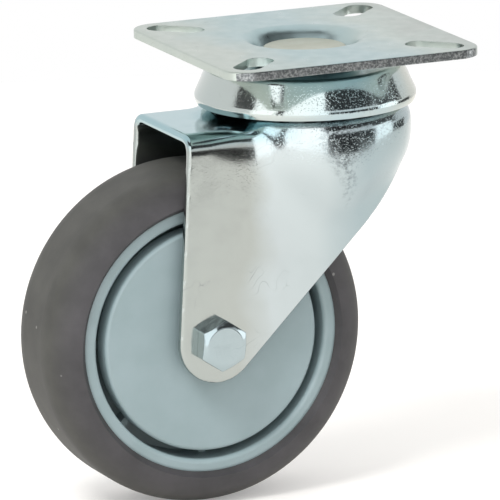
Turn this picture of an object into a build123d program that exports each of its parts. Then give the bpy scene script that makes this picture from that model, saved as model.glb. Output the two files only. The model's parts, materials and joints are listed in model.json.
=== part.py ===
from build123d import *
from math import cos, radians, sin, sqrt, tan
import os

# Swivel castor with a square fixing plate, a double ball race swivel head, a one-piece pressed fork
# and a soft-tyred wheel on two ball bearings. All sizes are in millimetres.
# The origin is the centre of the plate's upper face, on the swivel axis. +Z is up, the wheel trails
# towards -X, and its axle lies along Y.

# Whole castor; its height comes from the wheel, the swivel head and the gap between them
TRAIL = 28.5

# Fixing plate
PLATE_LENGTH = 60.0
PLATE_WIDTH = 60.0
PLATE_SHEET = 2.0
PLATE_CORNER_R = 6.0
PLATE_EDGE_R = 0.4
SLOT_WIDTH = 6.2
SLOT_EDGE = 2.9
BOLT_ADJUSTMENT = 10.0
DISH_DEPTH = 3.4
DISH_MOUTH_R = 12.9
DISH_FLOOR_R = 10.9
DISH_MOUTH_BEND = 2.5
DISH_FLOOR_BEND = 2.0

# King pin, a stepped rivet
PIN_R = 6.0
PIN_STEP_R = 5.0
PIN_HEAD_R = 8.5
PIN_HEAD_HEIGHT = 1.4
PIN_HEAD_EDGE = 0.6
PEEN_R = 7.0
PEEN_HEIGHT = 2.2
PEEN_EDGE = 0.9

# Upper race cup, which skirts the crown
CUP_SHEET = 1.5
CUP_SHOULDER_INSET = 2.35
CUP_SHOULDER_BEND = 1.25
CUP_TILT = 24.6
CUP_WALL_HEIGHT = 6.3
CUP_LIP_HEIGHT = 1.1
CUP_LIP_TURN = 0.45
CUP_LIP_BEND = 1.6

# Ball races
UPPER_BALL_DIAMETER = 5.5
UPPER_BALL_COUNT = 18
UPPER_RACE_SINK = 0.6
LOWER_BALL_DIAMETER = 4.5
LOWER_BALL_COUNT = 12
LOWER_RACE_R = 10.5
LOWER_RACE_SINK = 0.3

# Lower race dish
DISH_SHEET = 1.5
DISH_BEND = 1.5
DISH_RIM_GAP = 1.2

# Fork, one pressing
FORK_SHEET = 2.0
CROWN_R = 23.3
CROWN_BEND = 7.0
CROWN_SKIRT_HEIGHT = 11.5
FLANK_TILT = 26.6
FLANK_BEND = 14.0
ARM_DROP = 4.1
ARM_BEND = 4.0
ARM_REACH = 34.4
WRAP_INSET = 2.9
WRAP_BEND = 14.0
BLEND_EASE = 1.0
INNER_BLEND_R = 5.0
TOE_R = 9.0
BACK_ANGLE = 45.0
FORK_EDGE_R = 0.3

# Wheel
WHEEL_DIAMETER = 75.0
WHEEL_WIDTH = 26.0
TYRE_DEPTH = 7.4
TYRE_FOOT = 0.8
TYRE_LIP_RISE = 0.8
RIM_WALL = 3.1
RIM_INSET = 1.4
RIM_LIP_WIDTH = 3.0
RIM_SEAT_DEPTH = 1.5
RIM_KEY_WIDTH = 7.0
RIM_EDGE_R = 1.0
WEB_THICKNESS = 2.4
RIB_COUNT = 8
RIB_THICKNESS = 1.6
RIB_WIDTH = 10.0
HUB_WALL = 2.6
HUB_SHOULDER = 1.5

# Thread guards, one snapped over each end of the hub
GUARD_GROOVE = 2.7
GUARD_INSET = 0.7
GUARD_WALL = 1.4
GUARD_SKIRT = 4.6
GUARD_EDGE_R = 0.8
GUARD_COLLAR_WALL = 1.2
GUARD_COLLAR_DEPTH = 4.0

# Ball bearings, 608 size
BEARING_BORE = 8.0
BEARING_OUTSIDE = 22.0
BEARING_WIDTH = 7.0
BEARING_RACE_WALL = 1.9
BEARING_BALL_DIAMETER = 3.97
BEARING_BALL_COUNT = 7
BEARING_RECESS = 0.4
SHIELD_SHEET = 0.4
SHIELD_RECESS = 0.2

# Axle
AXLE_DIAMETER = 6.0
AXLE_PROUD = 2.5
BOLT_HEAD_HEIGHT = 4.0
HEX_ACROSS_FLATS = 10.0
HEX_TURN = 25.0
HEX_FACE_R = 4.2
HEX_CHAMFER = 30.0
BOLT_TIP = 0.8
NUT_HEX_HEIGHT = 4.6
NUT_COLLAR_HEIGHT = 1.4
NUT_COLLAR_R = 4.4
INSERT_WALL = 0.8
INSERT_HEIGHT = 1.6
SPACER_R = 6.0
DISTANCE_TUBE_R = 5.6

# Clearances
BALL_GAP = 0.1
PIN_GAP = 0.05
SWIVEL_GAP = 0.5
BOLT_GAP = 0.2
GUARD_GAP = 0.3
SEAT_GAP = 0.02
TYRE_TOP_GAP = 2.9
TYRE_SIDE_GAP = 0.75

# Levels and places that follow from the sizes above
WHEEL_R = WHEEL_DIAMETER / 2
TYRE_HALF = WHEEL_WIDTH / 2
RECESS_FLOOR_Z = -DISH_DEPTH
CUP_TOP_Z = RECESS_FLOOR_Z - PLATE_SHEET
CUP_UNDER_Z = CUP_TOP_Z - CUP_SHEET
UPPER_BALL_R = UPPER_BALL_DIAMETER / 2
UPPER_BALL_Z = CUP_UNDER_Z - BALL_GAP - UPPER_BALL_R
CROWN_TOP_Z = UPPER_BALL_Z - UPPER_BALL_R - BALL_GAP + UPPER_RACE_SINK
CROWN_UNDER_Z = CROWN_TOP_Z - FORK_SHEET
LOWER_BALL_R = LOWER_BALL_DIAMETER / 2
LOWER_BALL_Z = CROWN_UNDER_Z + LOWER_RACE_SINK - BALL_GAP - LOWER_BALL_R
DISH_TOP_Z = LOWER_BALL_Z - LOWER_BALL_R - BALL_GAP
DISH_UNDER_Z = DISH_TOP_Z - DISH_SHEET
PEEN_END_Z = DISH_UNDER_Z - PEEN_HEIGHT
AXLE_Z = PEEN_END_Z - TYRE_TOP_GAP - WHEEL_R
AXLE = (-TRAIL, 0, AXLE_Z)
CUP_SHOULDER_R = CROWN_R - CUP_SHOULDER_INSET
WRAP_R = CROWN_R - WRAP_INSET
ARM_TOP_Z = CROWN_TOP_Z - ARM_DROP
LEG_INNER_Y = TYRE_HALF + TYRE_SIDE_GAP
LEG_OUTER_Y = LEG_INNER_Y + FORK_SHEET
BLEND_R = CROWN_R - LEG_OUTER_Y + BLEND_EASE
RIM_R = WHEEL_R - TYRE_DEPTH
RIM_SEAT_R = RIM_R - RIM_SEAT_DEPTH
RIM_INNER_R = RIM_R - RIM_WALL
RIM_HALF = TYRE_HALF - RIM_INSET
TYRE_LIP_R = RIM_R + TYRE_LIP_RISE
TREAD_SHOULDER_R = WHEEL_R - RIM_SEAT_R - TYRE_FOOT
GUARD_R = RIM_INNER_R - GUARD_GROOVE
GUARD_HALF = TYRE_HALF - GUARD_INSET
HUB_HALF = GUARD_HALF - GUARD_WALL - SEAT_GAP
BEARING_R = BEARING_OUTSIDE / 2
BORE_R = BEARING_BORE / 2
HUB_R = BEARING_R + HUB_WALL
BEARING_MIDDLE = HUB_HALF - BEARING_RECESS - BEARING_WIDTH / 2
BEARING_BALL_R = BEARING_BALL_DIAMETER / 2
BEARING_RACE_R = (BORE_R + BEARING_R) / 2
AXLE_R = AXLE_DIAMETER / 2
NUT_HEIGHT = NUT_HEX_HEIGHT + NUT_COLLAR_HEIGHT
AXLE_END_Y = LEG_OUTER_Y + NUT_HEIGHT + AXLE_PROUD
SLOT_MARGIN = SLOT_EDGE + SLOT_WIDTH / 2 + BOLT_ADJUSTMENT / 4
SLOT_X = PLATE_LENGTH / 2 - SLOT_MARGIN
SLOT_Y = PLATE_WIDTH / 2 - SLOT_MARGIN
SLOT_RUN = BOLT_ADJUSTMENT / 2 * sqrt(2)
WHEEL_PLACE = Location(AXLE) * Rotation(90, 0, 0)


def turned(outline):
    """A body of revolution from (radius, height) corners, about Z."""
    return revolve(Plane.XZ * make_face(Polyline(*outline, close=True)), Axis.Z)


def bent_ring(corners, bends, sheet):
    """Sheet bent to a ring: its middle line, as (radius, height) corners, turned about Z."""
    middle = FilletPolyline(*corners, radius=bends)
    return revolve(Plane.XZ * trace(middle, sheet), Axis.Z)


def cup_wall_r(z):
    """Middle radius of the upper cup's sloping wall at height z."""
    return CUP_SHOULDER_R + (CUP_TOP_Z - CUP_SHEET / 2 - z) * tan(radians(CUP_TILT))


# The upper balls run in the corner between the cup's flat and its wall.
UPPER_RACE_R = cup_wall_r(UPPER_BALL_Z) - (
    (UPPER_BALL_R + BALL_GAP + CUP_SHEET / 2) / cos(radians(CUP_TILT))
)


def race_groove(race_r, height, ball_r):
    """The groove that the balls of one race roll in."""
    return revolve(Plane.XZ * (Pos(race_r, height) * Circle(ball_r + BALL_GAP)), Axis.Z)


def ball_ring(race_r, height, ball_r, count):
    """The balls of one race, one solid each."""
    return [Pos(loc.position) * Sphere(ball_r)
            for loc in Pos(0, 0, height) * PolarLocations(race_r, count)]


def top_plate():
    blank = extrude(RectangleRounded(PLATE_LENGTH, PLATE_WIDTH, PLATE_CORNER_R), -PLATE_SHEET)
    blank = fillet(blank.faces().sort_by(Axis.Z)[-1].outer_wire().edges(), PLATE_EDGE_R)
    slot = Rotation(0, 0, 45) * SlotCenterToCenter(SLOT_RUN, SLOT_WIDTH)
    for side_x in (-1, 1):
        for side_y in (-1, 1):
            turn = 0 if side_x == side_y else 90
            place = Pos(side_x * SLOT_X, side_y * SLOT_Y) * Rotation(0, 0, turn)
            blank -= extrude(place * slot, -PLATE_SHEET)
    level = -PLATE_SHEET / 2
    join_r = DISH_MOUTH_R + 2 * DISH_MOUTH_BEND
    dish = bent_ring(
        [(join_r, level), (DISH_MOUTH_R, level), (DISH_FLOOR_R, level - DISH_DEPTH),
         (PIN_R + PIN_GAP, level - DISH_DEPTH)],
        [DISH_MOUTH_BEND, DISH_FLOOR_BEND],
        PLATE_SHEET,
    )
    blank -= extrude(Circle(join_r), -PLATE_SHEET)
    return blank + dish


def king_pin():
    head_z = RECESS_FLOOR_Z + PIN_HEAD_HEIGHT
    return turned([
        (0, head_z), (PIN_HEAD_R - PIN_HEAD_EDGE, head_z), (PIN_HEAD_R, head_z - PIN_HEAD_EDGE),
        (PIN_HEAD_R, RECESS_FLOOR_Z), (PIN_R, RECESS_FLOOR_Z), (PIN_R, DISH_TOP_Z),
        (PIN_STEP_R, DISH_TOP_Z), (PIN_STEP_R, DISH_UNDER_Z), (PEEN_R, DISH_UNDER_Z),
        (PEEN_R - PEEN_EDGE, PEEN_END_Z), (0, PEEN_END_Z),
    ])


def upper_race_cup():
    level = CUP_TOP_Z - CUP_SHEET / 2
    rim_z = level - CUP_WALL_HEIGHT
    rim_r = cup_wall_r(rim_z)
    return bent_ring(
        [(PIN_R + PIN_GAP, level), (CUP_SHOULDER_R, level), (rim_r, rim_z),
         (rim_r - CUP_LIP_TURN, rim_z - CUP_LIP_HEIGHT)],
        [CUP_SHOULDER_BEND, CUP_LIP_BEND],
        CUP_SHEET,
    )


def lower_race_dish():
    level = DISH_TOP_Z - DISH_SHEET / 2
    wall_r = LOWER_RACE_R + LOWER_BALL_R + BALL_GAP + DISH_SHEET / 2
    return bent_ring(
        [(PIN_STEP_R + PIN_GAP, level), (wall_r, level), (wall_r, CROWN_UNDER_Z - DISH_RIM_GAP)],
        [DISH_BEND],
        DISH_SHEET,
    )


def crown_form(inset):
    """Round part of the fork's skin: flat top, rounded shoulder, skirt and inward flank."""
    top_z = CROWN_TOP_Z - inset
    skirt_r = CROWN_R - inset
    tip_r = CROWN_R / 2
    lean = tan(radians(FLANK_TILT))
    skirt_z = CROWN_TOP_Z - CROWN_SKIRT_HEIGHT + inset * tan(radians(FLANK_TILT / 2))
    tip_z = skirt_z - (skirt_r - tip_r) / lean
    edge = FilletPolyline(
        (0, top_z), (skirt_r, top_z), (skirt_r, skirt_z), (tip_r, tip_z),
        radius=[CROWN_BEND - inset, FLANK_BEND - inset],
    )
    closing = Polyline((tip_r, tip_z), (0, tip_z), (0, top_z))
    return revolve(Plane.XZ * make_face([*edge.edges(), *closing.edges()]), Axis.Z)


def arm_form(inset):
    """Straight part of the fork's skin: flat legs that wrap in at the back, under a flat arm."""
    half_y = LEG_OUTER_Y - inset
    reach = ARM_REACH + TOE_R
    strip = Rectangle(2 * reach, 2 * half_y)
    plan = Pos(-reach, 0) * strip + (Circle(WRAP_R - inset) & strip)
    form = extrude(Pos(0, 0, ARM_TOP_Z - inset) * plan, AXLE_Z - TOE_R - ARM_REACH)
    wraps = form.edges().filter_by(Axis.Z).filter_by(lambda edge: edge.center().X > 0)
    form = fillet(wraps, WRAP_BEND - inset)
    top = form.edges().group_by(Axis.Z)[-1].filter_by(Axis.X)
    folds = ShapeList([top.sort_by(Axis.Y)[0], top.sort_by(Axis.Y)[-1]])
    return fillet(folds, ARM_BEND - inset)


def fork_form(inset, blend_r):
    """The fork's skin as a solid, with the crown blended into the arm and the legs."""
    crown = crown_form(inset)
    arm = arm_form(inset)
    form = crown + arm
    return fillet(new_edges(crown, arm, combined=form), blend_r)


def fork_profile():
    """Side outline of the fork: upright front, round toe about the axle, sloping back."""
    toe = Pos(-TRAIL, AXLE_Z) * Circle(TOE_R)
    slope = radians(BACK_ANGLE)
    run = (CROWN_R + TRAIL) / cos(slope) + TOE_R
    back_x = -TRAIL + TOE_R * sin(slope) + run * cos(slope)
    back_z = AXLE_Z - TOE_R * cos(slope) + run * sin(slope)
    corners = Polyline(
        (-ARM_REACH, ARM_TOP_Z), (-CROWN_R - FORK_SHEET, 0), (back_x, 0), (back_x, back_z)
    )
    outline = make_hull([*toe.edges(), *corners.edges()])
    return extrude(Plane.XZ * outline, CROWN_R + FORK_SHEET, both=True)


def fork():
    pressed = fork_form(0, BLEND_R) - fork_form(FORK_SHEET, INNER_BLEND_R)
    profile = fork_profile()
    sheet = pressed & profile
    sheet = fillet(new_edges(pressed, profile, combined=sheet), FORK_EDGE_R)
    sheet -= Pos(0, 0, CROWN_TOP_Z) * Cylinder(PIN_R + SWIVEL_GAP, 2 * FORK_SHEET + ARM_DROP)
    sheet -= race_groove(UPPER_RACE_R, UPPER_BALL_Z, UPPER_BALL_R)
    sheet -= race_groove(LOWER_RACE_R, LOWER_BALL_Z, LOWER_BALL_R)
    sheet -= WHEEL_PLACE * Cylinder(AXLE_R + BOLT_GAP, 4 * LEG_OUTER_Y)
    return sheet


def rim_section():
    """Half section of the wheel core's rim: two lips, a seat between them and a key in the middle."""
    rim = Pos((RIM_INNER_R + RIM_R) / 2, 0) * Rectangle(RIM_WALL, 2 * RIM_HALF)
    rim = fillet(rim.vertices(), RIM_EDGE_R)
    seat_width = 2 * (RIM_HALF - RIM_LIP_WIDTH)
    seat = Pos(RIM_SEAT_R, 0) * Rectangle(RIM_R, seat_width, align=(Align.MIN, Align.CENTER))
    key = Pos(RIM_INNER_R, 0) * Rectangle(RIM_WALL, RIM_KEY_WIDTH, align=(Align.MIN, Align.CENTER))
    return rim - seat + key


def tyre():
    skin = FilletPolyline(
        (RIM_SEAT_R, -TYRE_HALF), (WHEEL_R, -TYRE_HALF), (WHEEL_R, TYRE_HALF), (RIM_SEAT_R, TYRE_HALF),
        radius=TREAD_SHOULDER_R,
    )
    foot = Polyline((RIM_SEAT_R, TYRE_HALF), (RIM_SEAT_R, -TYRE_HALF))
    section = make_face([*skin.edges(), *foot.edges()])
    lip_foot = RIM_HALF - RIM_EDGE_R
    for side in (-1, 1):
        section -= make_face(Polyline(
            (TYRE_LIP_R, side * TYRE_HALF), (RIM_R - RIM_EDGE_R, side * lip_foot),
            (RIM_SEAT_R, side * lip_foot), (RIM_SEAT_R, side * TYRE_HALF), close=True,
        ))
    section -= rim_section()
    return WHEEL_PLACE * revolve(Plane.XZ * section, Axis.Z)


def wheel_core():
    rim = revolve(Plane.XZ * rim_section(), Axis.Z)
    web = extrude(Circle(RIM_INNER_R + RIM_EDGE_R) - Circle(BEARING_R), WEB_THICKNESS / 2, both=True)
    hub = extrude(Circle(HUB_R) - Circle(BEARING_R - HUB_SHOULDER), HUB_HALF, both=True)
    core = rim + web + hub
    rib_run = RIM_INNER_R + RIM_EDGE_R / 2 - HUB_R + HUB_WALL / 2
    for place in PolarLocations(HUB_R - HUB_WALL / 2, RIB_COUNT):
        core += place * Box(
            rib_run, RIB_THICKNESS, RIB_WIDTH, align=(Align.MIN, Align.CENTER, Align.CENTER)
        )
    for side in (-1, 1):
        pocket = HUB_HALF - BEARING_MIDDLE + BEARING_WIDTH / 2
        core -= Pos(0, 0, side * (HUB_HALF - pocket / 2)) * Cylinder(BEARING_R, pocket)
    return WHEEL_PLACE * core


def thread_guard(side):
    inside = GUARD_HALF - GUARD_WALL
    collar_r = HUB_R + SEAT_GAP
    plate = turned([
        (SPACER_R + GUARD_GAP, inside), (SPACER_R + GUARD_GAP, GUARD_HALF), (GUARD_R, GUARD_HALF),
        (GUARD_R, GUARD_HALF - GUARD_SKIRT), (GUARD_R - GUARD_WALL, GUARD_HALF - GUARD_SKIRT),
        (GUARD_R - GUARD_WALL, inside), (collar_r + GUARD_COLLAR_WALL, inside),
        (collar_r + GUARD_COLLAR_WALL, inside - GUARD_COLLAR_DEPTH),
        (collar_r, inside - GUARD_COLLAR_DEPTH), (collar_r, inside),
    ])
    rim = plate.edges().filter_by(GeomType.CIRCLE).sort_by(lambda e: e.radius + e.center().Z)[-1]
    plate = fillet(rim, GUARD_EDGE_R)
    return WHEEL_PLACE * (plate if side > 0 else Rotation(180, 0, 0) * plate)


def bearing_ring(inner_r, outer_r, side):
    """One ring of a ball bearing, with its half of the ball groove."""
    ring = extrude(Circle(outer_r) - Circle(inner_r), BEARING_WIDTH / 2, both=True)
    ring -= race_groove(BEARING_RACE_R, 0, BEARING_BALL_R)
    return WHEEL_PLACE * Pos(0, 0, side * BEARING_MIDDLE) * ring


def bearing_balls(side):
    balls = ball_ring(BEARING_RACE_R, side * BEARING_MIDDLE, BEARING_BALL_R, BEARING_BALL_COUNT)
    return [WHEEL_PLACE * ball for ball in balls]


def bearing_shield(side, face):
    """The thin disc that closes one face of a bearing; it is pressed into the outer ring."""
    inner_r = BORE_R + BEARING_RACE_WALL + GUARD_GAP
    outer_r = BEARING_R - BEARING_RACE_WALL
    level = side * BEARING_MIDDLE + face * (BEARING_WIDTH / 2 - SHIELD_RECESS - SHIELD_SHEET / 2)
    disc = extrude(Circle(outer_r) - Circle(inner_r), SHIELD_SHEET / 2, both=True)
    return WHEEL_PLACE * Pos(0, 0, level) * disc


def tube(inner_r, outer_r, start, end):
    """A plain tube on the axle between two distances from the wheel's middle."""
    ring = extrude(Circle(outer_r) - Circle(inner_r), end - start)
    return WHEEL_PLACE * Pos(0, 0, start) * ring


def hex_blank(height, turn):
    """Hexagon with its outer corners chamfered, standing on Z = 0."""
    corner_r = HEX_ACROSS_FLATS / 2 / cos(radians(30))
    drop = (corner_r - HEX_FACE_R) * tan(radians(HEX_CHAMFER))
    prism = extrude(RegularPolygon(HEX_ACROSS_FLATS / 2, 6, major_radius=False, rotation=turn), height)
    return prism & turned([
        (0, 0), (corner_r, 0), (corner_r, height - drop), (HEX_FACE_R, height), (0, height),
    ])


def axle_bolt():
    head = Pos(0, 0, LEG_OUTER_Y) * hex_blank(BOLT_HEAD_HEIGHT, HEX_TURN)
    shank = turned([
        (0, LEG_OUTER_Y), (AXLE_R, LEG_OUTER_Y), (AXLE_R, BOLT_TIP - AXLE_END_Y),
        (AXLE_R - BOLT_TIP, -AXLE_END_Y), (0, -AXLE_END_Y),
    ])
    return WHEEL_PLACE * (head + shank)


def axle_nut():
    blank = hex_blank(NUT_HEX_HEIGHT, HEX_TURN) + Cylinder(
        NUT_COLLAR_R, NUT_HEIGHT, align=(Align.CENTER, Align.CENTER, Align.MIN)
    )
    blank -= Cylinder(AXLE_R + SEAT_GAP, 2 * NUT_HEIGHT)
    blank -= Pos(0, 0, NUT_HEIGHT - INSERT_HEIGHT) * Cylinder(
        AXLE_R + INSERT_WALL, INSERT_HEIGHT, align=(Align.CENTER, Align.CENTER, Align.MIN)
    )
    return WHEEL_PLACE * Rotation(180, 0, 0) * Pos(0, 0, LEG_OUTER_Y) * blank


def nut_insert():
    end = -(LEG_OUTER_Y + NUT_HEIGHT)
    return tube(AXLE_R + SEAT_GAP, AXLE_R + INSERT_WALL, end, end + INSERT_HEIGHT)


def spacer(side):
    face = BEARING_MIDDLE + BEARING_WIDTH / 2
    start, end = sorted((side * face, side * LEG_INNER_Y))
    return tube(BORE_R, SPACER_R, start, end)


def ball_nodes(name, race_r, height, ball_r, count):
    """One named node for each ball of a swivel race."""
    balls = ball_ring(race_r, height, ball_r, count)
    return {f"{name}_{number:02d}": ball for number, ball in enumerate(balls, start=1)}


def castor():
    """Every piece of the castor, by the name of its node."""
    bearing_end = BEARING_MIDDLE - BEARING_WIDTH / 2
    pieces = {
        "top_plate": top_plate(),
        "king_pin": king_pin(),
        "upper_race_cup": upper_race_cup(),
        "lower_race_dish": lower_race_dish(),
        "fork": fork(),
        "axle_bolt": axle_bolt(),
        "axle_nut": axle_nut(),
        "nut_insert": nut_insert(),
        "axle_tube": tube(AXLE_R + BALL_GAP, BORE_R - SEAT_GAP, -LEG_INNER_Y, LEG_INNER_Y),
        "distance_tube": tube(BORE_R, DISTANCE_TUBE_R, -bearing_end, bearing_end),
        "tyre": tyre(),
        "wheel_core": wheel_core(),
    }
    for place, side in (("front", 1), ("rear", -1)):
        pieces[f"{place}_spacer"] = spacer(side)
        pieces[f"{place}_thread_guard"] = thread_guard(side)
        pieces[f"{place}_bearing_inner_ring"] = bearing_ring(BORE_R, BORE_R + BEARING_RACE_WALL, side)
        pieces[f"{place}_bearing_outer_ring"] = bearing_ring(BEARING_R - BEARING_RACE_WALL, BEARING_R, side)
        pieces[f"{place}_bearing_balls"] = Compound(children=bearing_balls(side))
        for cover, face in (("inner", -side), ("outer", side)):
            pieces[f"{place}_bearing_{cover}_shield"] = bearing_shield(side, face)
    pieces.update(ball_nodes("upper_ball", UPPER_RACE_R, UPPER_BALL_Z, UPPER_BALL_R, UPPER_BALL_COUNT))
    pieces.update(ball_nodes("lower_ball", LOWER_RACE_R, LOWER_BALL_Z, LOWER_BALL_R, LOWER_BALL_COUNT))
    return pieces


os.makedirs("parts", exist_ok=True)
for node, piece in castor().items():
    export_step(piece, f"parts/{node}.step")
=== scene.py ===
import json
from math import radians, tan

import bmesh
import bpy
from mathutils import Matrix, Quaternion, Vector


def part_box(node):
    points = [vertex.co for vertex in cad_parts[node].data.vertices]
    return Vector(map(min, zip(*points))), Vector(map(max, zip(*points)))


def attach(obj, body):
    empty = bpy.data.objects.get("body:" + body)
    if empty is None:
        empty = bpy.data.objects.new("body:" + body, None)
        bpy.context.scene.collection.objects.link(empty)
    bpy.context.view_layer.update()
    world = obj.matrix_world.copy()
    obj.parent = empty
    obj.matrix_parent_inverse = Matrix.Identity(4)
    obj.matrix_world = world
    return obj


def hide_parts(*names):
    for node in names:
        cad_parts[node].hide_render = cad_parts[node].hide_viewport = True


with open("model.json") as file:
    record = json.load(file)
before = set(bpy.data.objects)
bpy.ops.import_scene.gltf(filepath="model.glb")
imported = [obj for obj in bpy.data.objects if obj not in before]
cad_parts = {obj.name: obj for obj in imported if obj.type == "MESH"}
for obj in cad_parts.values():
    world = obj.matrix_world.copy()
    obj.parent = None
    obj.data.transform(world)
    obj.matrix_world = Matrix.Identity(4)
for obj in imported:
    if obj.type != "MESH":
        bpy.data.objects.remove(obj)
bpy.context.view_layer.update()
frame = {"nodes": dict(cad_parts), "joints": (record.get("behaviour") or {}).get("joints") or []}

# Swivel castor: bright zinc pressings, a moulded polypropylene wheel and a soft grey tyre.
# The frame's origin is the centre of the plate's upper face; +Z is up and the wheel trails to -X.

MM = 0.001
JOINTS = {joint["name"]: joint for joint in frame["joints"]}
WHEEL_CENTRE = Vector(JOINTS["wheel_spin"]["pos_m"])
FLOOR_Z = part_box("tyre")[0].z

# The places and sizes below are in millimetres, and a pair is where a change starts and where it ends.

# Corners of loose triangles that lie nearer than this are one
MERGE_GAP = 0.002

# Plate: an edge is sheared where it faces Y by more than SHEARED_FACING and lies outside SHEARED_REACH
# of the half width
SHEARED_REACH = 0.93
SHEARED_FACING = 0.7
PLATE_EASE = 0.22

# King pin: its cold-headed end is what lies in the top PIN_HEAD_HEIGHT and outside PIN_HEAD_FROM_R
PIN_HEAD_HEIGHT = 1.4
PIN_HEAD_ALLOWANCE = 0.01
PIN_HEAD_FROM_R = 6.5
PIN_HEAD_SPREAD = 1.12
PIN_EASE = 0.3

# Bolt and nut
BOLT_EASE = 0.25

# Thread guards: their discs sit wider and deeper than their seats
GUARD_SPREAD = 1.028
GUARD_DEEPER = 0.6

# Fork: the voxels of its skin, the legs' sloping edge, along which x - z is SLOPING_EDGE, and the rounds
# of smoothing for the whole skin and for the drawn flanks
FORK_GRAIN = 0.42
SLOPING_EDGE = 46.8
DIAGONAL = 1.4142
SMOOTHING = 0.5
SKIN_ROUNDS = 6
FLANK_ROUNDS = 320

# Fork: where the press has drawn the sheet, out from the middle plane, down from the plate's face, up
# from the toes, in from the sloping edge and towards +X
DRAWN_OUT = (8.0, 11.0)
DRAWN_DOWN = (16.5, 21.0)
DRAWN_UP = (-56.0, -44.0)
DRAWN_IN = (0.6, 4.0)
DRAWN_ALONG = (-30.0, -22.0)

# Fork: the swell that carries the crown's wall down into the flank, as a tongue that stands out by
# SWELL at most. It grows from SWELL_TOP_Z down to its foot, which hangs below SWELL_SHORE_Z by up to
# SWELL_TONGUE, and runs out over SWELL_CHIN. Towards +X it rises in two steps, each with its share, and
# then falls, by the pair on -x. SWELL_OUT and SWELL_IN are measured as for the drawn sheet.
SWELL = 3.2
SWELL_TOP_Z = -20.5
SWELL_SHORE_Z = -22.0
SWELL_TONGUE = 13.0
SWELL_CHIN = 20.0
SWELL_FIRST_RISE = (-20.0, -10.0)
SWELL_FIRST_SHARE = 0.25
SWELL_SECOND_RISE = (-12.0, 3.0)
SWELL_SECOND_SHARE = 0.75
SWELL_FALL = (-12.5, -4.5)
SWELL_OUT = (7.0, 11.0)
SWELL_IN = (3.0, 14.0)


# ---------------------------------------------------------------- small tools

def linear(code):
    """An sRGB hex colour as linear red, green and blue, with an alpha of 1."""
    parts = [int(code[i:i + 2], 16) / 255 for i in (1, 3, 5)]
    return tuple(c / 12.92 if c <= 0.04045 else ((c + 0.055) / 1.055) ** 2.4 for c in parts) + (1.0,)


def add(tree, kind, inputs=None, **settings):
    """Adds a node with its settings, its input values and the links that come in."""
    made = tree.nodes.new(kind)
    for name, value in settings.items():
        setattr(made, name, value)
    for name, value in (inputs or {}).items():
        if isinstance(value, bpy.types.NodeSocket):
            tree.links.new(value, made.inputs[name])
        else:
            made.inputs[name].default_value = value
    return made


def per_mm(size_mm):
    """Texture scale at which a noise cell is this many millimetres wide."""
    return 1.0 / (size_mm * MM)


def ramp(value, low, high):
    """Smooth step from 0 at low to 1 at high."""
    part = min(max((value - low) / (high - low), 0.0), 1.0)
    return part * part * (3 - 2 * part)


def object_from(name, bm):
    """A new object at the origin from a finished bmesh."""
    mesh = bpy.data.meshes.new(name)
    bm.to_mesh(mesh)
    bm.free()
    made = bpy.data.objects.new(name, mesh)
    bpy.context.scene.collection.objects.link(made)
    return made


def piece(name, bm, material, body, node, crease=32.0):
    """Turns a finished bmesh into an object that stands for one CAD node."""
    made = object_from(name, bm)
    for polygon in made.data.polygons:
        polygon.use_smooth = True
    made.data.set_sharp_from_angle(angle=radians(crease))
    made.data.materials.append(material)
    weighted = made.modifiers.new("weighted_normals", "WEIGHTED_NORMAL")
    weighted.keep_sharp = True
    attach(made, body)
    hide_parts(node)
    return made


def merged_copy(node, flat_deg=0.3):
    """A CAD node's mesh with its loose triangles joined and its flats made whole."""
    bm = bmesh.new()
    bm.from_mesh(frame["nodes"][node].data)
    bmesh.ops.remove_doubles(bm, verts=bm.verts[:], dist=MERGE_GAP * MM)
    bmesh.ops.dissolve_limit(
        bm, angle_limit=radians(flat_deg), verts=bm.verts[:], edges=bm.edges[:],
        use_dissolve_boundaries=False,
    )
    return bm


def ease_edges(made, width_mm, segments, angle):
    """Breaks the sharp edges of a finished piece, before its normals are weighted."""
    eased = made.modifiers.new("eased_edges", "BEVEL")
    eased.width = width_mm * MM
    eased.segments = segments
    eased.limit_method = "ANGLE"
    eased.angle_limit = radians(angle)
    eased.harden_normals = True
    made.modifiers.move(len(made.modifiers) - 1, 0)


def evaluated(mesh, kind, weights=(), **settings):
    """The mesh after one modifier, which works by the (vertex, weight) pairs where they are given."""
    carrier = bpy.data.objects.new("carrier", mesh)
    bpy.context.scene.collection.objects.link(carrier)
    modifier = carrier.modifiers.new(kind.lower(), kind)
    if weights:
        group = carrier.vertex_groups.new(name="weights")
        for index, weight in weights:
            group.add([index], weight, "REPLACE")
        modifier.vertex_group = group.name
    for name, value in settings.items():
        setattr(modifier, name, value)
    done = bpy.data.meshes.new_from_object(carrier.evaluated_get(bpy.context.evaluated_depsgraph_get()))
    bpy.data.objects.remove(carrier)
    return done


# ---------------------------------------------------------------- materials

# Blue passivation pools and drains as the parts hang in the bath: cool and warm patches, by place
# along X in millimetres, up to POOL_SPAN each way.
POOL_SPAN = 50
# Partly painted reflection: the fork's bright band from -15 to -5 and teal to +X mirror its curving legs
FORK_POOLS_AND_PAINTED_REFLECTION = [
    (-50, "#a9b0ad"), (-22, "#adb2ae"), (-15, "#bdc6c8"), (-5, "#bbc5c7"), (5, "#a1b0b4"), (26, "#a2b0b1"),
]
PLATE_POOLS = [
    (-46, "#c6cdc4"), (-24, "#bcc5bf"), (-8, "#abc1c3"), (4, "#adc2c5"), (18, "#bcc7c2"), (44, "#a9aca7"),
]
CUP_POOLS = [(-50, "#b4bebe"), (-20, "#bcc4c1"), (0, "#adbfc4"), (20, "#bfc1b7"), (50, "#b4bebe")]
BOLT_POOLS = [(-50, "#a6b5b9"), (50, "#b0b9ba")]
PIN_POOLS = [(-50, "#b7bcae"), (50, "#c1c3b5")]
BLUE_FILM = "#9cc1ca"
SCUFF_GREY = "#5f6769"
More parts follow.
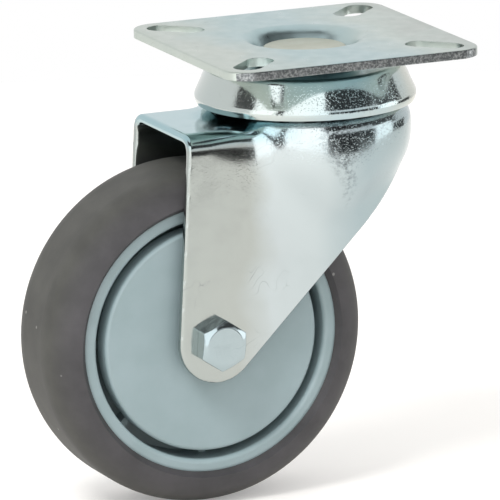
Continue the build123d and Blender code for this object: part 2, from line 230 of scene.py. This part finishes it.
# Painted reflection: the grey of dark streaks that stand in for surroundings mirrored in the fork's flanks
PAINTED_REFLECTION_GREY = "#454c51"

# The film is bluest on the arm's upper face: it comes in going up, and goes out towards +X
BLUE_UP = (-19.5, -17.0)
BLUE_ALONG = (-17, -9)

# The painted reflection streaks, dark marks that stand in for surroundings mirrored in the flank, lie
# where x + MARK_LEAN * z, with a wander between none and MARK_WANDER added, is MARK_LINE. They fade to
# their sides over MARK_WIDTH, and taper by MARK_TAPER from the upper end of MARK_DOWN to the lower one.
MARK_LEAN = 0.233
MARK_LINE = -2.4
MARK_WANDER = 8
MARK_WIDTH = (0.6, 5.0)
MARK_DOWN = (-37, -20)
MARK_TAPER = 5.0

# The pits deepen going up and towards +X, to where the sheet is drawn most
PITTED_UP = (-44, -26)
PITTED_ALONG = (-24, -12)

# The tread passes into the wall over this, out from the tyre's middle plane
TREAD_TO_WALL = (8.5, 12.4)


def new_material(name):
    """A new material with its node tree and its shader."""
    made = bpy.data.materials.new(name)
    made.use_nodes = True
    return made, made.node_tree, made.node_tree.nodes["Principled BSDF"]


def set_tones(tint, tones):
    """Sets a colour ramp's stops, which are (position, sRGB colour) pairs in order."""
    stops = tint.color_ramp.elements
    for i, (place, colour) in enumerate(tones):
        if 0 < i < len(tones) - 1:
            stops.new(place)
        stops[i].position = place
        stops[i].color = linear(colour)


def passivated(tree, place, axes, pools, sway, blue_top):
    """The plating's colour: pools of passivation along X, which drift by their sway, and a bluer film
    on high faces. On the fork the pools are partly a painted reflection of its legs."""
    along = add(tree, "ShaderNodeMapRange", {
        "Value": axes["X"], "From Min": -POOL_SPAN * MM, "From Max": POOL_SPAN * MM,
        "To Min": -sway / 2, "To Max": 1.0 - sway / 2,
    })
    drift = add(tree, "ShaderNodeTexNoise", {"Vector": place, "Scale": per_mm(16), "Detail": 2.0})
    pooled = add(tree, "ShaderNodeMath", {
        0: drift.outputs["Fac"], 1: sway, 2: along.outputs["Result"],
    }, operation="MULTIPLY_ADD")
    tint = add(tree, "ShaderNodeValToRGB", {"Fac": pooled.outputs["Value"]})
    set_tones(tint, [((x / POOL_SPAN + 1) / 2, colour) for x, colour in pools])
    high = add(tree, "ShaderNodeMapRange", {
        "Value": axes["Z"], "From Min": BLUE_UP[0] * MM, "From Max": BLUE_UP[1] * MM,
        "To Min": 0.0, "To Max": blue_top,
    })
    rear = add(tree, "ShaderNodeMapRange", {
        "Value": axes["X"], "From Min": BLUE_ALONG[0] * MM, "From Max": BLUE_ALONG[1] * MM,
        "To Min": 1.0, "To Max": 0.0,
    })
    film = add(tree, "ShaderNodeMath", {
        0: high.outputs["Result"], 1: rear.outputs["Result"],
    }, operation="MULTIPLY")
    cooled = add(tree, "ShaderNodeMix", {
        "Factor": film.outputs["Value"], "A": tint.outputs["Color"], "B": linear(BLUE_FILM),
    }, data_type="RGBA")
    return cooled.outputs["Result"]


def scuffed(tree, place, colour, scuffs):
    """Curled hairline scuffs from handling, in a few patches."""
    path = add(tree, "ShaderNodeTexNoise", {
        "Vector": place, "Scale": per_mm(6), "Detail": 1.0, "Distortion": 0.6,
    })
    off = add(tree, "ShaderNodeMath", {0: path.outputs["Fac"], 1: 0.5}, operation="SUBTRACT")
    away = add(tree, "ShaderNodeMath", {0: off.outputs["Value"]}, operation="ABSOLUTE")
    line = add(tree, "ShaderNodeMapRange", {
        "Value": away.outputs["Value"], "From Min": 0.001, "From Max": 0.006,
        "To Min": scuffs, "To Max": 0.0,
    })
    spot = add(tree, "ShaderNodeTexNoise", {"Vector": place, "Scale": per_mm(10), "Detail": 2.0})
    where = add(tree, "ShaderNodeMapRange", {
        "Value": spot.outputs["Fac"], "From Min": 0.59, "From Max": 0.66,
    })
    scuff = add(tree, "ShaderNodeMath", {
        0: line.outputs["Result"], 1: where.outputs["Result"],
    }, operation="MULTIPLY")
    mixed = add(tree, "ShaderNodeMix", {
        "Factor": scuff.outputs["Value"], "A": colour, "B": linear(SCUFF_GREY),
    }, data_type="RGBA")
    return mixed.outputs["Result"]


def painted_reflection_streaks(tree, place, axes, colour, reflection_streak_strength):
    """Broken dark streaks down the flank: a painted reflection of what the drawn sheet's crinkles mirror."""
    lean = add(tree, "ShaderNodeMath", {
        0: axes["Z"], 1: MARK_LEAN, 2: axes["X"],
    }, operation="MULTIPLY_ADD")
    crinkle = add(tree, "ShaderNodeTexNoise", {
        "Vector": place, "Scale": per_mm(2.2), "Detail": 5.0, "Roughness": 0.7,
    })
    wander = add(tree, "ShaderNodeMath", {
        0: crinkle.outputs["Fac"], 1: MARK_WANDER * MM, 2: lean.outputs["Value"],
    }, operation="MULTIPLY_ADD")
    aside = add(tree, "ShaderNodeMath", {
        0: wander.outputs["Value"], 1: MARK_LINE * MM,
    }, operation="SUBTRACT")
    distance = add(tree, "ShaderNodeMath", {0: aside.outputs["Value"]}, operation="ABSOLUTE")
    taper = add(tree, "ShaderNodeMapRange", {
        "Value": axes["Z"], "From Min": MARK_DOWN[0] * MM, "From Max": MARK_DOWN[1] * MM,
        "To Min": MARK_TAPER * MM, "To Max": 0.0,
    })
    narrowed = add(tree, "ShaderNodeMath", {
        0: distance.outputs["Value"], 1: taper.outputs["Result"],
    }, operation="ADD")
    streak = add(tree, "ShaderNodeMapRange", {
        "Value": narrowed.outputs["Value"], "From Min": MARK_WIDTH[0] * MM, "From Max": MARK_WIDTH[1] * MM,
        "To Min": reflection_streak_strength, "To Max": 0.0,
    })
    mottle = add(tree, "ShaderNodeTexNoise", {
        "Vector": place, "Scale": per_mm(0.9), "Detail": 4.0, "Roughness": 0.65,
    })
    broken = add(tree, "ShaderNodeMapRange", {
        "Value": mottle.outputs["Fac"], "From Min": 0.42, "From Max": 0.60,
    })
    mark = add(tree, "ShaderNodeMath", {
        0: streak.outputs["Result"], 1: broken.outputs["Result"],
    }, operation="MULTIPLY")
    # Painted reflection: the flank's colour is darkened along the streak
    mixed = add(tree, "ShaderNodeMix", {
        "Factor": mark.outputs["Value"], "A": colour, "B": linear(PAINTED_REFLECTION_GREY),
    }, data_type="RGBA")
    return mixed.outputs["Result"]


def plated_surface(tree, place, axes, wave_mm, wave, grain_mm, grain, specks):
    """The sheet's slow waves, the plating's crystal grain and the pits that open where it is drawn.
    Grain and pits are finer on a real part: they are drawn as coarse as they need to be to show."""
    waves = add(tree, "ShaderNodeTexNoise", {"Vector": place, "Scale": per_mm(wave_mm), "Detail": 1.0})
    slow = add(tree, "ShaderNodeBump", {
        "Height": waves.outputs["Fac"], "Strength": wave, "Distance": 1.0 * MM,
    })
    crystal = add(tree, "ShaderNodeTexNoise", {"Vector": place, "Scale": per_mm(grain_mm), "Detail": 3.0})
    fine = add(tree, "ShaderNodeBump", {
        "Height": crystal.outputs["Fac"], "Strength": grain, "Distance": 0.05 * MM,
        "Normal": slow.outputs["Normal"],
    })
    pits = add(tree, "ShaderNodeTexNoise", {"Vector": place, "Scale": per_mm(0.38), "Detail": 1.0})
    few = add(tree, "ShaderNodeMapRange", {"Value": pits.outputs["Fac"], "From Min": 0.58, "From Max": 0.72})
    drawn = add(tree, "ShaderNodeMapRange", {
        "Value": axes["Z"], "From Min": PITTED_UP[0] * MM, "From Max": PITTED_UP[1] * MM,
        "To Min": 0.12, "To Max": 1.0,
    })
    flat = add(tree, "ShaderNodeMapRange", {
        "Value": axes["X"], "From Min": PITTED_ALONG[0] * MM, "From Max": PITTED_ALONG[1] * MM,
        "To Min": 0.15 * specks, "To Max": specks,
    })
    strength = add(tree, "ShaderNodeMath", {
        0: drawn.outputs["Result"], 1: flat.outputs["Result"],
    }, operation="MULTIPLY")
    pitted = add(tree, "ShaderNodeBump", {
        "Height": few.outputs["Result"], "Strength": strength.outputs["Value"], "Distance": 0.06 * MM,
        "Normal": fine.outputs["Normal"],
    })
    return pitted.outputs["Normal"]


def bright_zinc(name, pools, sway, rough, wave_mm=7.0, wave=0.10, grain_mm=0.5, grain=0.20, specks=0.0,
                blue_top=0.0, scuffs=0.22, reflection_streak_strength=0.0):
    """Bright zinc plate over steel, blue passivated: a clear mirror broken by the sheet's slow waves and
    the plating's fine crystal grain, with faint colour drift."""
    made, tree, shader = new_material(name)
    place = add(tree, "ShaderNodeTexCoord").outputs["Object"]
    axes = add(tree, "ShaderNodeSeparateXYZ", {"Vector": place}).outputs
    colour = passivated(tree, place, axes, pools, sway, blue_top)
    colour = scuffed(tree, place, colour, scuffs)
    # Painted reflection: dark streaks down the fork's flanks
    colour = painted_reflection_streaks(tree, place, axes, colour, reflection_streak_strength)
    tree.links.new(colour, shader.inputs["Base Color"])
    shader.inputs["Metallic"].default_value = 1.0
    haze = add(tree, "ShaderNodeTexNoise", {"Vector": place, "Scale": per_mm(3.5), "Detail": 4.0})
    hazy = add(tree, "ShaderNodeMapRange", {
        "Value": haze.outputs["Fac"], "From Min": 0.3, "From Max": 0.7,
        "To Min": rough[0], "To Max": rough[1],
    })
    tree.links.new(hazy.outputs["Result"], shader.inputs["Roughness"])
    surface = plated_surface(tree, place, axes, wave_mm, wave, grain_mm, grain, specks)
    tree.links.new(surface, shader.inputs["Normal"])
    return made


def sheared_edge():
    """Zinc over a sheared edge: torn, dark and full of glints. The tear is finer on a real part, and is
    drawn as coarse as it needs to be to show."""
    made, tree, shader = new_material("zinc_on_sheared_edge")
    place = add(tree, "ShaderNodeTexCoord").outputs["Object"]
    tear = add(tree, "ShaderNodeTexNoise", {
        "Vector": place, "Scale": per_mm(0.45), "Detail": 3.0, "Roughness": 0.6,
    })
    tint = add(tree, "ShaderNodeValToRGB", {"Fac": tear.outputs["Fac"]})
    set_tones(tint, [(0.42, "#6a6e70"), (0.66, "#adb1b1")])
    tree.links.new(tint.outputs["Color"], shader.inputs["Base Color"])
    shader.inputs["Metallic"].default_value = 1.0
    shader.inputs["Roughness"].default_value = 0.34
    torn = add(tree, "ShaderNodeBump", {
        "Height": tear.outputs["Fac"], "Strength": 0.35, "Distance": 0.12 * MM,
    })
    tree.links.new(torn.outputs["Normal"], shader.inputs["Normal"])
    return made


def moulded_polypropylene():
    """Injection-moulded polypropylene, blue grey: satin, with a faint flow mottle. Its skin is drawn as
    coarse as it needs to be to show."""
    made, tree, shader = new_material("moulded_polypropylene")
    place = add(tree, "ShaderNodeTexCoord").outputs["Object"]
    flow = add(tree, "ShaderNodeTexNoise", {"Vector": place, "Scale": per_mm(9), "Detail": 3.0})
    tint = add(tree, "ShaderNodeValToRGB", {"Fac": flow.outputs["Fac"]})
    set_tones(tint, [(0.3, "#8ea1a4"), (0.7, "#97a9ad")])
    tree.links.new(tint.outputs["Color"], shader.inputs["Base Color"])
    shader.inputs["Roughness"].default_value = 0.42
    shader.inputs["IOR"].default_value = 1.49
    skin = add(tree, "ShaderNodeTexNoise", {"Vector": place, "Scale": per_mm(0.6), "Detail": 2.0})
    satin = add(tree, "ShaderNodeBump", {
        "Height": skin.outputs["Fac"], "Strength": 0.15, "Distance": 0.02 * MM,
    })
    tree.links.new(satin.outputs["Normal"], shader.inputs["Normal"])
    return made


def moulded_tpe():
    """Thermoplastic rubber: matt grey with a soft bloom, warmer on the tread, and a few specks of dust.
    Its skin is drawn as coarse as it needs to be to show."""
    made, tree, shader = new_material("moulded_thermoplastic_rubber")
    place = add(tree, "ShaderNodeTexCoord").outputs["Object"]
    bloom = add(tree, "ShaderNodeTexNoise", {
        "Vector": place, "Scale": per_mm(9), "Detail": 5.0, "Roughness": 0.6,
    })
    walls = add(tree, "ShaderNodeValToRGB", {"Fac": bloom.outputs["Fac"]})
    set_tones(walls, [(0.32, "#39383a"), (0.70, "#49474a")])
    tread = add(tree, "ShaderNodeValToRGB", {"Fac": bloom.outputs["Fac"]})
    set_tones(tread, [(0.32, "#3d3d3a"), (0.70, "#4a4a46")])
    axes = add(tree, "ShaderNodeSeparateXYZ", {"Vector": place}).outputs
    width = add(tree, "ShaderNodeMath", {0: axes["Y"]}, operation="ABSOLUTE")
    wall = add(tree, "ShaderNodeMapRange", {
        "Value": width.outputs["Value"],
        "From Min": TREAD_TO_WALL[0] * MM, "From Max": TREAD_TO_WALL[1] * MM,
    })
    both = add(tree, "ShaderNodeMix", {
        "Factor": wall.outputs["Result"], "A": tread.outputs["Color"], "B": walls.outputs["Color"],
    }, data_type="RGBA")
    dust = add(tree, "ShaderNodeTexVoronoi", {"Vector": place, "Scale": per_mm(7)})
    speck = add(tree, "ShaderNodeMapRange", {
        "Value": dust.outputs["Distance"], "From Min": 0.035, "From Max": 0.06,
        "To Min": 0.45, "To Max": 0.0,
    })
    dusty = add(tree, "ShaderNodeMix", {
        "Factor": speck.outputs["Result"], "A": both.outputs["Result"], "B": linear("#a7a6a2"),
    }, data_type="RGBA")
    tree.links.new(dusty.outputs["Result"], shader.inputs["Base Color"])
    shader.inputs["Roughness"].default_value = 0.62
    shader.inputs["IOR"].default_value = 1.5
    skin = add(tree, "ShaderNodeTexNoise", {"Vector": place, "Scale": per_mm(0.35), "Detail": 3.0})
    matt = add(tree, "ShaderNodeBump", {
        "Height": skin.outputs["Fac"], "Strength": 0.3, "Distance": 0.03 * MM,
    })
    tree.links.new(matt.outputs["Normal"], shader.inputs["Normal"])
    return made


def moulded_nylon():
    """Natural nylon of the lock ring: pale and slightly waxy."""
    made, tree, shader = new_material("moulded_nylon")
    place = add(tree, "ShaderNodeTexCoord").outputs["Object"]
    flow = add(tree, "ShaderNodeTexNoise", {"Vector": place, "Scale": per_mm(1.5)})
    tint = add(tree, "ShaderNodeValToRGB", {"Fac": flow.outputs["Fac"]})
    set_tones(tint, [(0.0, "#d9d8cc"), (1.0, "#e6e5dc")])
    tree.links.new(tint.outputs["Color"], shader.inputs["Base Color"])
    shader.inputs["Roughness"].default_value = 0.38
    return made


def ground_steel():
    """Hardened bearing steel, ground: near-mirror, with faint stains."""
    made, tree, shader = new_material("ground_bearing_steel")
    place = add(tree, "ShaderNodeTexCoord").outputs["Object"]
    stain = add(tree, "ShaderNodeTexNoise", {"Vector": place, "Scale": per_mm(4)})
    tint = add(tree, "ShaderNodeValToRGB", {"Fac": stain.outputs["Fac"]})
    set_tones(tint, [(0.0, "#b4b5b6"), (1.0, "#c6c7c8")])
    tree.links.new(tint.outputs["Color"], shader.inputs["Base Color"])
    shader.inputs["Metallic"].default_value = 1.0
    shader.inputs["Roughness"].default_value = 0.12
    return made


# Deep-drawn sheet: a clear mirror, pitted where it is stretched, with scuffs and painted dark reflection
# streaks
SHEET_ZINC = bright_zinc(
    "bright_zinc_on_pressed_steel", FORK_POOLS_AND_PAINTED_REFLECTION, sway=0.12, rough=(0.09, 0.17), wave=0.03, grain_mm=0.42,
    grain=0.10, specks=0.34, blue_top=0.75, scuffs=0.42, reflection_streak_strength=0.75,
)
# Rolled plate: flat and hazy
PLATE_ZINC = bright_zinc(
    "bright_zinc_on_rolled_plate", PLATE_POOLS, sway=0.25, rough=(0.27, 0.40), wave_mm=9, wave=0.05,
    grain=0.07,
)
SHEARED_EDGE = sheared_edge()
# Drawn cup: the clearest mirror
CUP_ZINC = bright_zinc(
    "bright_zinc_on_drawn_cup", CUP_POOLS, sway=0.3, rough=(0.08, 0.15), wave=0.03, grain_mm=0.42,
    grain=0.10, specks=0.30,
)
# Cold-headed pin: dull from the header's die
PIN_ZINC = bright_zinc(
    "dull_zinc_on_cold_headed_pin", PIN_POOLS, sway=0.5, rough=(0.34, 0.5), wave_mm=4, grain_mm=0.7,
    grain=0.25,
)
# Forged bolt and nut: bright, with short waves
BOLT_ZINC = bright_zinc(
    "bright_zinc_on_forged_bolt", BOLT_POOLS, sway=0.5, rough=(0.10, 0.20), wave_mm=2.5, wave=0.08,
    grain_mm=0.3,
)
POLYPROPYLENE = moulded_polypropylene()
TPE = moulded_tpe()
NYLON = moulded_nylon()
BEARING_STEEL = ground_steel()


# ---------------------------------------------------------------- pieces

def make_plate():
    """The plate is cropped from rolled strip: the edges that face Y are sheared, the others are rolled."""
    low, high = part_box("top_plate")
    bm = merged_copy("top_plate")
    for face in bm.faces:
        middle = face.calc_center_median()
        reach_x = middle.x / (high.x if middle.x > 0 else low.x)
        reach_y = middle.y / (high.y if middle.y > 0 else low.y)
        sheared = abs(face.normal.y) > SHEARED_FACING and max(reach_x, reach_y) > SHEARED_REACH
        face.material_index = 1 if sheared else 0
    plate = piece("plate_skin", bm, PLATE_ZINC, "mount", "top_plate")
    plate.data.materials.append(SHEARED_EDGE)
    ease_edges(plate, PLATE_EASE, segments=2, angle=40)


def from_sloping_edge(x, z):
    """How far, in millimetres, a place lies inside the legs' sloping edge."""
    return (SLOPING_EDGE - x + z) / DIAGONAL


def drawn_zone(point):
    """How far the press has drawn the sheet at this point: 1 in the flanks, 0 at edges and flats."""
    x, y, z = point / MM
    side = ramp(abs(y), *DRAWN_OUT)
    height = ramp(-z, *DRAWN_DOWN) * ramp(z, *DRAWN_UP)
    return side * height * ramp(from_sloping_edge(x, z), *DRAWN_IN) * ramp(x, *DRAWN_ALONG)


def crown_tongue(point):
    """How far, in millimetres, the crown's wall stays out below its skirt: most just to +X of the pin."""
    x, y, z = point / MM
    first = SWELL_FIRST_SHARE * ramp(x, *SWELL_FIRST_RISE)
    second = SWELL_SECOND_SHARE * ramp(x, *SWELL_SECOND_RISE)
    across = (first + second) * ramp(-x, *SWELL_FALL)
    foot = SWELL_SHORE_Z - SWELL_TONGUE * across
    down = (SWELL_TOP_Z - z) / (SWELL_TOP_Z - foot) if z > foot else ramp(z, foot - SWELL_CHIN, foot)
    out = SWELL * across * max(down, 0.0)
    return out * ramp(abs(y), *SWELL_OUT) * ramp(from_sloping_edge(x, z), *SWELL_IN)


def make_fork():
    """One pressing, remeshed and smoothed so that the drawn flanks run softly into the flat legs."""
    blank = bpy.data.meshes.new("fork_blank")
    bm = merged_copy("fork", flat_deg=0.0)
    bm.to_mesh(blank)
    bm.free()
    even = evaluated(blank, "REMESH", mode="VOXEL", voxel_size=FORK_GRAIN * MM, adaptivity=0.0)
    for vert in even.vertices:
        outward = -1.0 if vert.co.y < 0 else 1.0
        vert.co.y += outward * crown_tongue(vert.co) * MM
    weights = [(vert.index, drawn_zone(vert.co)) for vert in even.vertices]
    drawn = [(index, weight) for index, weight in weights if weight > 0]
    soft = evaluated(even, "SMOOTH", factor=SMOOTHING, iterations=SKIN_ROUNDS)
    soft = evaluated(soft, "SMOOTH", drawn, factor=SMOOTHING, iterations=FLANK_ROUNDS)
    bm = bmesh.new()
    bm.from_mesh(soft)
    piece("fork_skin", bm, SHEET_ZINC, "fork_assembly", "fork", crease=60.0)


def make_king_pin():
    """The pin's cold-headed end fills the plate's recess, and keeps the dull skin of the header's die."""
    bm = merged_copy("king_pin", flat_deg=0.05)
    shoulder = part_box("king_pin")[1].z - PIN_HEAD_HEIGHT * MM - PIN_HEAD_ALLOWANCE * MM
    head = [vert for vert in bm.verts if vert.co.z > shoulder and vert.co.xy.length > PIN_HEAD_FROM_R * MM]
    bmesh.ops.scale(bm, vec=(PIN_HEAD_SPREAD, PIN_HEAD_SPREAD, 1), verts=head)
    pin = piece("king_pin_skin", bm, PIN_ZINC, "mount", "king_pin")
    ease_edges(pin, PIN_EASE, segments=3, angle=25)


def make_bolt_and_nut():
    """The hexagon bolt and its nut, with the soft edges of forged and plated steel."""
    for name, node in (("bolt_skin", "axle_bolt"), ("nut_skin", "axle_nut")):
        made = piece(name, merged_copy(node), BOLT_ZINC, "fork_assembly", node, crease=25)
        ease_edges(made, BOLT_EASE, segments=3, angle=22)


def make_cup():
    """The drawn cup, in its clearer zinc."""
    bm = merged_copy("upper_race_cup", flat_deg=0.05)
    piece("cup_skin", bm, CUP_ZINC, "mount", "upper_race_cup")


def make_guards():
    """The thread guards' discs sit a touch deeper and wider than their seats."""
    for side, inward in (("front", 1), ("rear", -1)):
        node = side + "_thread_guard"
        bm = merged_copy(node, flat_deg=0.05)
        centre = Matrix.Translation(-WHEEL_CENTRE)
        bmesh.ops.scale(bm, vec=(GUARD_SPREAD, 1, GUARD_SPREAD), verts=bm.verts[:], space=centre)
        bmesh.ops.translate(bm, vec=(0, inward * GUARD_DEEPER * MM, 0), verts=bm.verts[:])
        piece(side + "_guard_skin", bm, POLYPROPYLENE, "wheel", node)


def finish_of(node):
    """The material of a CAD node, by what the piece is."""
    if node == "tyre":
        return TPE
    if node == "wheel_core" or "guard" in node:
        return POLYPROPYLENE
    if node == "nut_insert":
        return NYLON
    if "bearing" in node or "ball" in node:
        return BEARING_STEEL
    return SHEET_ZINC


make_plate()
make_fork()
make_king_pin()
make_bolt_and_nut()
make_cup()
make_guards()
for node, cad in frame["nodes"].items():
    cad.data.materials.clear()
    cad.data.materials.append(finish_of(node))


# ---------------------------------------------------------------- studio

# A white room with a white table. Cards stand round it that only reflections show: dark flags, which
# draw the edges of bright metal, and soft boxes. Each row is where a card starts and ends, as an azimuth
# from -Y towards +X in degrees, its lowest and highest elevation, and its brightness.
CARDS = {
    "flag_left_rear": (-108, -82, 21, 42, 0.10),
    "soft_box_left": (-82, -54, -30, 42, 1.95),
    "flag_slot": (-54, -46, -30, 42, 0.08),
    "soft_box_front": (-46, 0, -30, 42, 1.90),
    "flag_front": (0, 58, -30, 7, 0.06),
    "flag_front_high": (0, 58, 25, 42, 0.06),
    "soft_box_right": (58, 86, -30, 16, 2.10),
    "flag_right": (86, 112, -30, 2, 0.09),
    "flag_right_middle": (82, 96, 9, 17, 0.09),
    "flag_high": (-100, 62, 44, 72, 0.08),
    "flag_high_right": (58, 104, 17, 60, 0.10),
}

# Lengths are in metres, power in watts and turns in degrees, where the name doesn't say millimetres
CARD_DISTANCE = 3.0
CARD_STEPS = 12
FILL = 1.0
TABLE_R = 440 * MM
TABLE_WHITE = "#e2dfdb"
TABLE_LIFT = 0.26
LAMP_PLACE = (-0.58, -0.32, 0.82)
LAMP_TARGET = (0, 0, -0.05)
LAMP_SIZE = 0.40
LAMP_POWER = 7.2
CAMERA_PLACE = (-0.6733, -1.5270, 0.3404)
CAMERA_TARGET = (-0.01388, 0.0, -0.04652)
CAMERA_ROLL = -1.05
CAMERA_SENSOR_MM = 36.0
CAMERA_LENS_MM = 559.0
CAMERA_REACH = 10.0
WHITE = (1, 1, 1, 1)


def white_to_the_eye(tree):
    """1 for camera, glossy and transmission rays: the eye, metal and glass all see the backdrop."""
    eye = add(tree, "ShaderNodeLightPath").outputs
    seen = add(tree, "ShaderNodeMath", {
        0: eye["Is Camera Ray"], 1: eye["Is Glossy Ray"],
    }, operation="MAXIMUM")
    both = add(tree, "ShaderNodeMath", {
        0: seen.outputs["Value"], 1: eye["Is Transmission Ray"],
    }, operation="MAXIMUM")
    return both.outputs["Value"]


def aim(place, target):
    """The turn that points a lamp or a camera from its place to its target."""
    return (Vector(target) - Vector(place)).to_track_quat("-Z", "Y")


def build_world():
    """White for the eye, and an even fill for every other ray."""
    world = bpy.data.worlds.new("white_room")
    bpy.context.scene.world = world
    world.use_nodes = True
    tree = world.node_tree
    tree.nodes.clear()
    fill = add(tree, "ShaderNodeBackground", {"Color": WHITE, "Strength": FILL})
    backdrop = add(tree, "ShaderNodeBackground", {"Color": WHITE, "Strength": 1.0})
    shown = add(tree, "ShaderNodeMixShader", {
        0: white_to_the_eye(tree), 1: fill.outputs["Background"], 2: backdrop.outputs["Background"],
    })
    add(tree, "ShaderNodeOutputWorld", {"Surface": shown.outputs["Shader"]})


def build_card(name, start, end, low, high, level):
    """A curved card that only reflections show: it casts no shadow, and no camera or matt face sees it."""
    bm = bmesh.new()
    ends = [bm.verts.new((0, -CARD_DISTANCE, CARD_DISTANCE * tan(radians(tilt)))) for tilt in (low, high)]
    bm.edges.new(ends)
    turn = Matrix.Rotation(radians(start), 3, "Z")
    bmesh.ops.rotate(bm, verts=bm.verts[:], cent=(0, 0, 0), matrix=turn)
    bmesh.ops.spin(
        bm, geom=bm.verts[:] + bm.edges[:], cent=(0, 0, 0), axis=(0, 0, 1), dvec=(0, 0, 0),
        angle=radians(end - start), steps=CARD_STEPS, use_merge=False, use_duplicate=False,
    )
    card = object_from(name, bm)
    card.visible_camera = card.visible_diffuse = card.visible_shadow = False
    made, tree, _ = new_material(name)
    glow = add(tree, "ShaderNodeEmission", {"Color": WHITE, "Strength": level})
    tree.links.new(glow.outputs["Emission"], tree.nodes["Material Output"].inputs["Surface"])
    card.data.materials.append(made)


def build_table():
    """A white table top, which is lifted to white for the eye and keeps the castor's shadow."""
    bm = bmesh.new()
    bmesh.ops.create_circle(bm, cap_ends=True, segments=96, radius=TABLE_R)
    table = object_from("table", bm)
    table.location = (0, 0, FLOOR_Z)
    made, tree, shader = new_material("white_table_top")
    shader.inputs["Base Color"].default_value = linear(TABLE_WHITE)
    shader.inputs["Roughness"].default_value = 0.6
    lift = add(tree, "ShaderNodeEmission", {"Color": WHITE, "Strength": TABLE_LIFT})
    lifted = add(tree, "ShaderNodeAddShader", {0: shader.outputs["BSDF"], 1: lift.outputs["Emission"]})
    shown = add(tree, "ShaderNodeMixShader", {
        0: white_to_the_eye(tree), 1: shader.outputs["BSDF"], 2: lifted.outputs["Shader"],
    })
    tree.links.new(shown.outputs["Shader"], tree.nodes["Material Output"].inputs["Surface"])
    table.data.materials.append(made)


def build_lamp():
    """One soft lamp, high on the left, which no reflection shows."""
    data = bpy.data.lights.new("key_soft_box", "AREA")
    data.shape = "DISK"
    data.size = LAMP_SIZE
    data.energy = LAMP_POWER
    lamp = bpy.data.objects.new("key_soft_box", data)
    lamp.visible_glossy = False
    lamp.location = LAMP_PLACE
    lamp.rotation_euler = aim(LAMP_PLACE, LAMP_TARGET).to_euler()
    bpy.context.scene.collection.objects.link(lamp)


def build_camera():
    """Long lens, front left and a little above, filled by the castor."""
    data = bpy.data.cameras.new("camera")
    data.sensor_width = CAMERA_SENSOR_MM
    data.lens = CAMERA_LENS_MM
    data.clip_end = CAMERA_REACH
    camera = bpy.data.objects.new("camera", data)
    camera.rotation_mode = "QUATERNION"
    roll = Quaternion((0, 0, 1), radians(CAMERA_ROLL))
    camera.rotation_quaternion = aim(CAMERA_PLACE, CAMERA_TARGET) @ roll
    camera.location = CAMERA_PLACE
    bpy.context.scene.collection.objects.link(camera)
    bpy.context.scene.camera = camera


build_world()
build_table()
for name, card in CARDS.items():
    build_card(name, *card)
build_lamp()
build_camera()
bpy.context.scene.view_settings.view_transform = "Standard"
